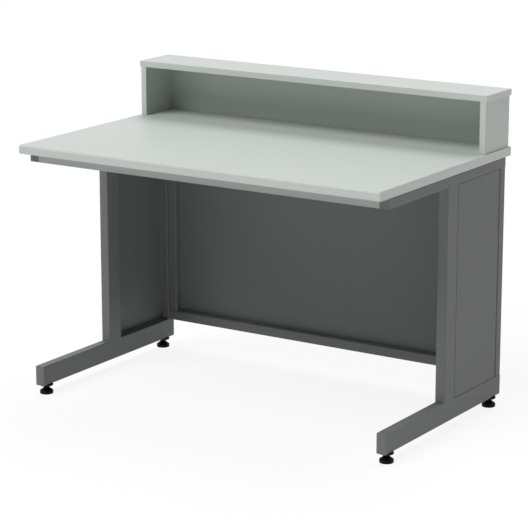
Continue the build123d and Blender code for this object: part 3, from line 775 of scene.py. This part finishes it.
def fasten(tree, node_name, name, **more):
    seats, facings, sizes = fasteners_of(node_name)
    sizes.update(more)
    piece = grown(tree, name, sizes, finishes[slot_of[node_name]], seats, facings)
    return shown_as(crisp_smooth(piece), node_name)


for node_name in ("side_panel_rivets", "back_panel_rivets"):
    rivets = fasten(rivet_tree, node_name, node_name + "_domed")
    print(rivets.name, len(rivets.data.polygons), "faces")

# %% [markdown]
# The screws have a cross recess. Those that hold the worktop have pan heads inside the tubes, and those in
# the apron, the uprights and the shelf's back panel are countersunk. Both kinds are the same turned shape:
# a countersunk screw has no crown above its rim and a pan head has no cone below it. The recess is cut by
# two crossed bars.

# %% Screws with a cross recess
crown_rings = ((1.0, 0.4), (0.95, 0.7), (0.8, 0.91), (0.5, 1.0))
recess_share = 0.56
recess_bar_share = 0.2
recess_depth_share = 0.16

screw_tree, given = geometry_tree("cross_screws", {
    "Head Diameter": 10 * MM, "Head Height": 3 * MM, "Sink Depth": 0.0, "Shank Diameter": 5 * MM,
    "Shank Length": 20 * MM}, takes_points=True)
head = times(screw_tree, given["Head Diameter"], 0.5)
shank = times(screw_tree, given["Shank Diameter"], 0.5)
tip = times(screw_tree, given["Shank Length"], -1.0)
neck = times(screw_tree, given["Sink Depth"], -1.0)
rings = [(0.0, tip), (shank, tip), (shank, neck), (head, 0.0)]
for across, up in crown_rings:
    rings.append((times(screw_tree, head, across), times(screw_tree, given["Head Height"], up)))
rings.append((0.0, given["Head Height"]))
long_side = times(screw_tree, given["Head Diameter"], recess_share)
short_side = times(screw_tree, given["Head Diameter"], recess_bar_share)
deep = times(screw_tree, given["Head Diameter"], 2 * recess_depth_share)
cutters = []
for width, depth in ((long_side, short_side), (short_side, long_side)):
    cutter = put(screw_tree, "GeometryNodeMeshCube", {"Size": vector(screw_tree, width, depth, deep)})
    cutters.append(lifted(screw_tree, cutter.outputs["Mesh"], given["Head Height"]))
recessed = put(screw_tree, "GeometryNodeMeshBoolean", {
    "Mesh 1": turned_shell(screw_tree, rings), "Mesh 2": cutters}, operation="DIFFERENCE", solver="EXACT")
at_places(screw_tree, given, welded(screw_tree, recessed.outputs["Mesh"]))

screws = fasten(screw_tree, "worktop_screws", "worktop_screws_pan_head")
print(screws.name, len(screws.data.polygons), "faces")
for node_name in ("apron_screws", "shelf_upright_screws", "shelf_panel_screws"):
    sizes = fasteners_of(node_name)[2]
    sink = (sizes["Head Diameter"] - sizes["Shank Diameter"]) / 2
    screws = fasten(screw_tree, node_name, node_name + "_countersunk", **{"Sink Depth": sink})
    print(screws.name, len(screws.data.polygons), "faces")

# %% [markdown]
# Hexagons come in two places: the bolts of the back frame, and the waist of each levelling stud, which
# takes a spanner. A real hexagon is cut from round bar, so its corners are chamfered by a cone. The tree
# does the same: it keeps what a six-sided prism and a turned blank have in common.

# %% Hexagon, shared by bolts and studs
hexagon_sides = 6
chamfer_share = 0.14
chamfer_circle_share = 0.96
blank_share = 1.02


def hexagon(tree, flats, low, high, both_ends):
    apothem = times(tree, flats, 0.5)
    corner = calc(tree, "DIVIDE", apothem, math.cos(math.pi / hexagon_sides))
    height = calc(tree, "SUBTRACT", high, low)
    prism = put(tree, "GeometryNodeMeshCylinder", {
        "Vertices": hexagon_sides, "Radius": corner, "Depth": height})
    centre = times(tree, calc(tree, "ADD", low, high), 0.5)
    raised = lifted(tree, prism.outputs["Mesh"], centre)
    rise = times(tree, apothem, chamfer_share)
    narrow = times(tree, apothem, chamfer_circle_share)
    wide = times(tree, corner, blank_share)
    blank = [(0.0, low), (narrow if both_ends else wide, low)]
    blank += [(wide, calc(tree, "ADD", low, rise))] if both_ends else []
    blank += [(wide, calc(tree, "SUBTRACT", high, rise)), (narrow, high), (0.0, high)]
    common = put(tree, "GeometryNodeMeshBoolean", {"Mesh 2": [raised, turned_shell(tree, blank)]},
                 operation="INTERSECT", solver="EXACT")
    return welded(tree, common.outputs["Mesh"])


bolt_tree, given = geometry_tree("hexagon_bolts", {
    "Head Diameter": 11.5 * MM, "Head Height": 4 * MM, "Shank Diameter": 6 * MM, "Shank Length": 40 * MM},
    takes_points=True)
flats = times(bolt_tree, given["Head Diameter"], math.cos(math.pi / hexagon_sides))
shank = times(bolt_tree, given["Shank Diameter"], 0.5)
tip = times(bolt_tree, given["Shank Length"], -1.0)
bolt_head = hexagon(bolt_tree, flats, 0.0, given["Head Height"], both_ends=False)
bolt_shank = turned_shell(bolt_tree, [(0.0, tip), (shank, tip), (shank, 0.0), (0.0, 0.0)])
bolt = put(bolt_tree, "GeometryNodeJoinGeometry", {"Geometry": [bolt_head, bolt_shank]})
at_places(bolt_tree, given, bolt.outputs[0])
bolts = fasten(bolt_tree, "back_frame_bolts", "back_frame_bolts_hexagon")
print(bolts.name, len(bolts.data.polygons), "faces")

# %% [markdown]
# A levelling foot is a black plastic socket in the foot rail, a steel stud that screws into it and a pad
# that the stud turns in. The stud's thread shows when the foot is wound out. It could be faked with a bump,
# but a thread is a shape, so the tree sweeps a four-cornered section along a spiral. The stud's ends and
# the heights of its hexagon are read from its node.

# %% Levelling studs
thread_pitch = 1.5 * MM
thread_steps = 24
ridge_corners = 4
spanner_flats = 17 * MM
stud_core_share = 0.82
stud_point_share = 0.82

stud_tree, given = geometry_tree("levelling_stud", {
    "Thread Diameter": 10 * MM, "Pitch": thread_pitch, "Low": 5 * MM, "High": 72 * MM, "Head High": 11 * MM,
    "Head Diameter": 14 * MM, "Flats": spanner_flats, "Hexagon Low": 17 * MM, "Hexagon High": 25 * MM},
    takes_points=True)
thread = times(stud_tree, given["Thread Diameter"], 0.5)
core = times(stud_tree, thread, stud_core_share)
head = times(stud_tree, given["Head Diameter"], 0.5)
point = calc(stud_tree, "SUBTRACT", given["High"], given["Pitch"])
stem = turned_shell(stud_tree, [
    (0.0, given["Low"]), (head, given["Low"]), (head, given["Head High"]), (thread, given["Head High"]),
    (thread, given["Hexagon High"]), (core, given["Hexagon High"]), (core, point),
    (times(stud_tree, core, stud_point_share), given["High"]), (0.0, given["High"])])
run = calc(stud_tree, "SUBTRACT", point, given["Hexagon High"])
spiral = put(stud_tree, "GeometryNodeCurveSpiral", {
    "Resolution": thread_steps, "Rotations": calc(stud_tree, "DIVIDE", run, given["Pitch"]),
    "Start Radius": core, "End Radius": core, "Height": run})
upright = put(stud_tree, "GeometryNodeSetCurveNormal", {"Curve": spiral.outputs[0]}, mode="Z_UP")
ridge = put(stud_tree, "GeometryNodeCurvePrimitiveCircle", {
    "Resolution": ridge_corners, "Radius": calc(stud_tree, "SUBTRACT", thread, core)})
wound = put(stud_tree, "GeometryNodeCurveToMesh", {
    "Curve": upright.outputs[0], "Profile Curve": ridge.outputs[0], "Fill Caps": True})
wound_up = lifted(stud_tree, wound.outputs[0], given["Hexagon High"])
waist = hexagon(stud_tree, given["Flats"], given["Hexagon Low"], given["Hexagon High"], both_ends=True)
stud = put(stud_tree, "GeometryNodeJoinGeometry", {"Geometry": [stem, waist, wound_up]})
at_places(stud_tree, given, stud.outputs[0])

feet = [f"{end}_{side}" for end in ("front", "rear") for side in ("left", "right")]
for foot in feet:
    node_name = f"foot_stud_{foot}"
    low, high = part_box(node_name)
    axle = (low + high) / 2
    points = solids_of(node_name)[0]
    waist_points = [p.z for p in points if math.hypot(p.x - axle.x, p.y - axle.y) > spanner_flats / 2]
    sizes = {"Low": low.z, "High": high.z, "Hexagon Low": min(waist_points),
             "Hexagon High": max(waist_points)}
    place = Vector((axle.x, axle.y, 0))
    foot_stud = grown(stud_tree, node_name + "_threaded", sizes, black_oxide, [place], [Vector((0, 0, 1))])
    shown_as(crisp_smooth(foot_stud), node_name)
print("studs", len(feet), "with", len(foot_stud.data.polygons), "faces each")

# %% [markdown]
# The pads and the sockets are moulded, and both are round. They could be built from a modifier that turns a
# curve, but a few lines do the same with full control: a half-section is given in millimetres from the axis
# and from the floor, each of its points becomes a ring, and faces join the rings. Round stretches of a
# section come from two small functions, one for an arc and one for a soft bend between two points.

# %% Turning a half-section
mould_sides = 72
arc_steps = 6


def arc(centre_r, centre_z, radius, start_deg, end_deg):
    turns = [math.radians(start_deg + (end_deg - start_deg) * i / arc_steps) for i in range(arc_steps + 1)]
    return [(centre_r + radius * math.cos(t), centre_z + radius * math.sin(t)) for t in turns]


def bend(first, pull, last):
    shares = [i / arc_steps for i in range(arc_steps + 1)]
    return [tuple((1 - s) ** 2 * a + 2 * s * (1 - s) * b + s * s * c for a, b, c in zip(first, pull, last))
            for s in shares]


def turned(name, half_section, axle, closed_loop):
    shape = bmesh.new()
    rings = []
    for r, z in half_section:
        count = mould_sides if r > 0 else 1
        turns = [2 * math.pi * i / count for i in range(count)]
        rings.append([shape.verts.new((axle.x + r * MM * math.cos(t), axle.y + r * MM * math.sin(t), z * MM))
                      for t in turns])
    pairs = list(zip(rings, rings[1:] + rings[:1]))
    for one, two in pairs if closed_loop else pairs[:-1]:
        for i in range(mould_sides):
            corners = [one[i % len(one)], one[(i + 1) % len(one)], two[(i + 1) % len(two)], two[i % len(two)]]
            shape.faces.new(list(dict.fromkeys(corners)))
    bmesh.ops.recalc_face_normals(shape, faces=shape.faces)
    return crisp_smooth(piece_from(shape, name))


print("lathe ready,", mould_sides, "sides")

# %% [markdown]
# A pad has a rounded foot and rim, a cone that swells a little and a short neck. A shallow recess underneath
# makes it stand on a ring. Inside is the room in which the head of the stud turns. Its outer sizes are read
# from the node, and the softer details are given here.

# %% Pads
pad_low, pad_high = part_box("foot_pad_front_left")
pad_radius = (pad_high.x - pad_low.x) / 2 / MM
pad_top = pad_high.z / MM
recess_depth = 0.8
recess_radius = 11.2
ring_radius = 12.0
foot_round = 1.6
rim_top = 9.5
rim_round = 2.0
cone_pull = (13.4, 13.7)
neck_radius = 8.5
neck_height = 1.2
neck_step = 0.5
neck_round = 0.6
stud_bore = 5.1
head_bore = 7.3
head_low = 5.0
head_high = 11.0
cone_lean = math.atan2(pad_radius - neck_radius, pad_top - rim_top)
rim_bend = rim_round * math.tan(cone_lean / 2)

pad_section = [(0, recess_depth), (recess_radius, recess_depth), (ring_radius, 0.0)]
pad_section += arc(pad_radius - foot_round, foot_round, foot_round, -90, 0)
pad_section += arc(pad_radius - rim_round, rim_top - rim_bend, rim_round, 0, math.degrees(cone_lean))
pad_section += bend(pad_section[-1], cone_pull, (neck_radius + neck_step, pad_top - neck_height))[1:]
pad_section += arc(neck_radius - neck_round, pad_top - neck_round, neck_round, 0, 90)
pad_section += [(stud_bore, pad_top), (stud_bore, head_high), (head_bore, head_high), (head_bore, head_low),
                (0, head_low)]


def axle_of(node_name):
    low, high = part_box(node_name)
    return (low + high) / 2


for foot in feet:
    pad = turned(f"foot_pad_{foot}_moulded", pad_section, axle_of(f"foot_pad_{foot}"), closed_loop=False)
    shown_as(pad, f"foot_pad_{foot}")
print("pads", len(feet), "with", len(pad.data.polygons), "faces each")

# %% [markdown]
# A socket is a flanged bush. The flange with its soft rims shows under the rail, and the shank with the
# stud's bore is hidden in it. The half-section is a closed loop here, because the bore goes right through.

# %% Sockets
socket_low, socket_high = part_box("foot_socket_front_left")
socket_under = socket_low.z / MM
socket_top = socket_high.z / MM
flange_radius = 20.0
flange_height = 5.0
flange_top = socket_under + flange_height
lower_round = 0.8
upper_round = 0.4
mouth_chamfer = 0.6
shank_radius = 10.0
shank_chamfer = 1.0

socket_section = [(stud_bore, socket_under + mouth_chamfer), (stud_bore + mouth_chamfer, socket_under)]
socket_section += arc(flange_radius - lower_round, socket_under + lower_round, lower_round, -90, 0)
socket_section += arc(flange_radius - upper_round, flange_top - upper_round, upper_round, 0, 90)
socket_section += [(shank_radius, flange_top), (shank_radius, socket_top - shank_chamfer),
                   (shank_radius - shank_chamfer, socket_top), (stud_bore, socket_top)]
for foot in feet:
    node_name = f"foot_socket_{foot}"
    socket = turned(node_name + "_moulded", socket_section, axle_of(f"foot_pad_{foot}"), closed_loop=True)
    shown_as(socket, node_name)
print("sockets", len(feet), "with", len(socket.data.polygons), "faces each")
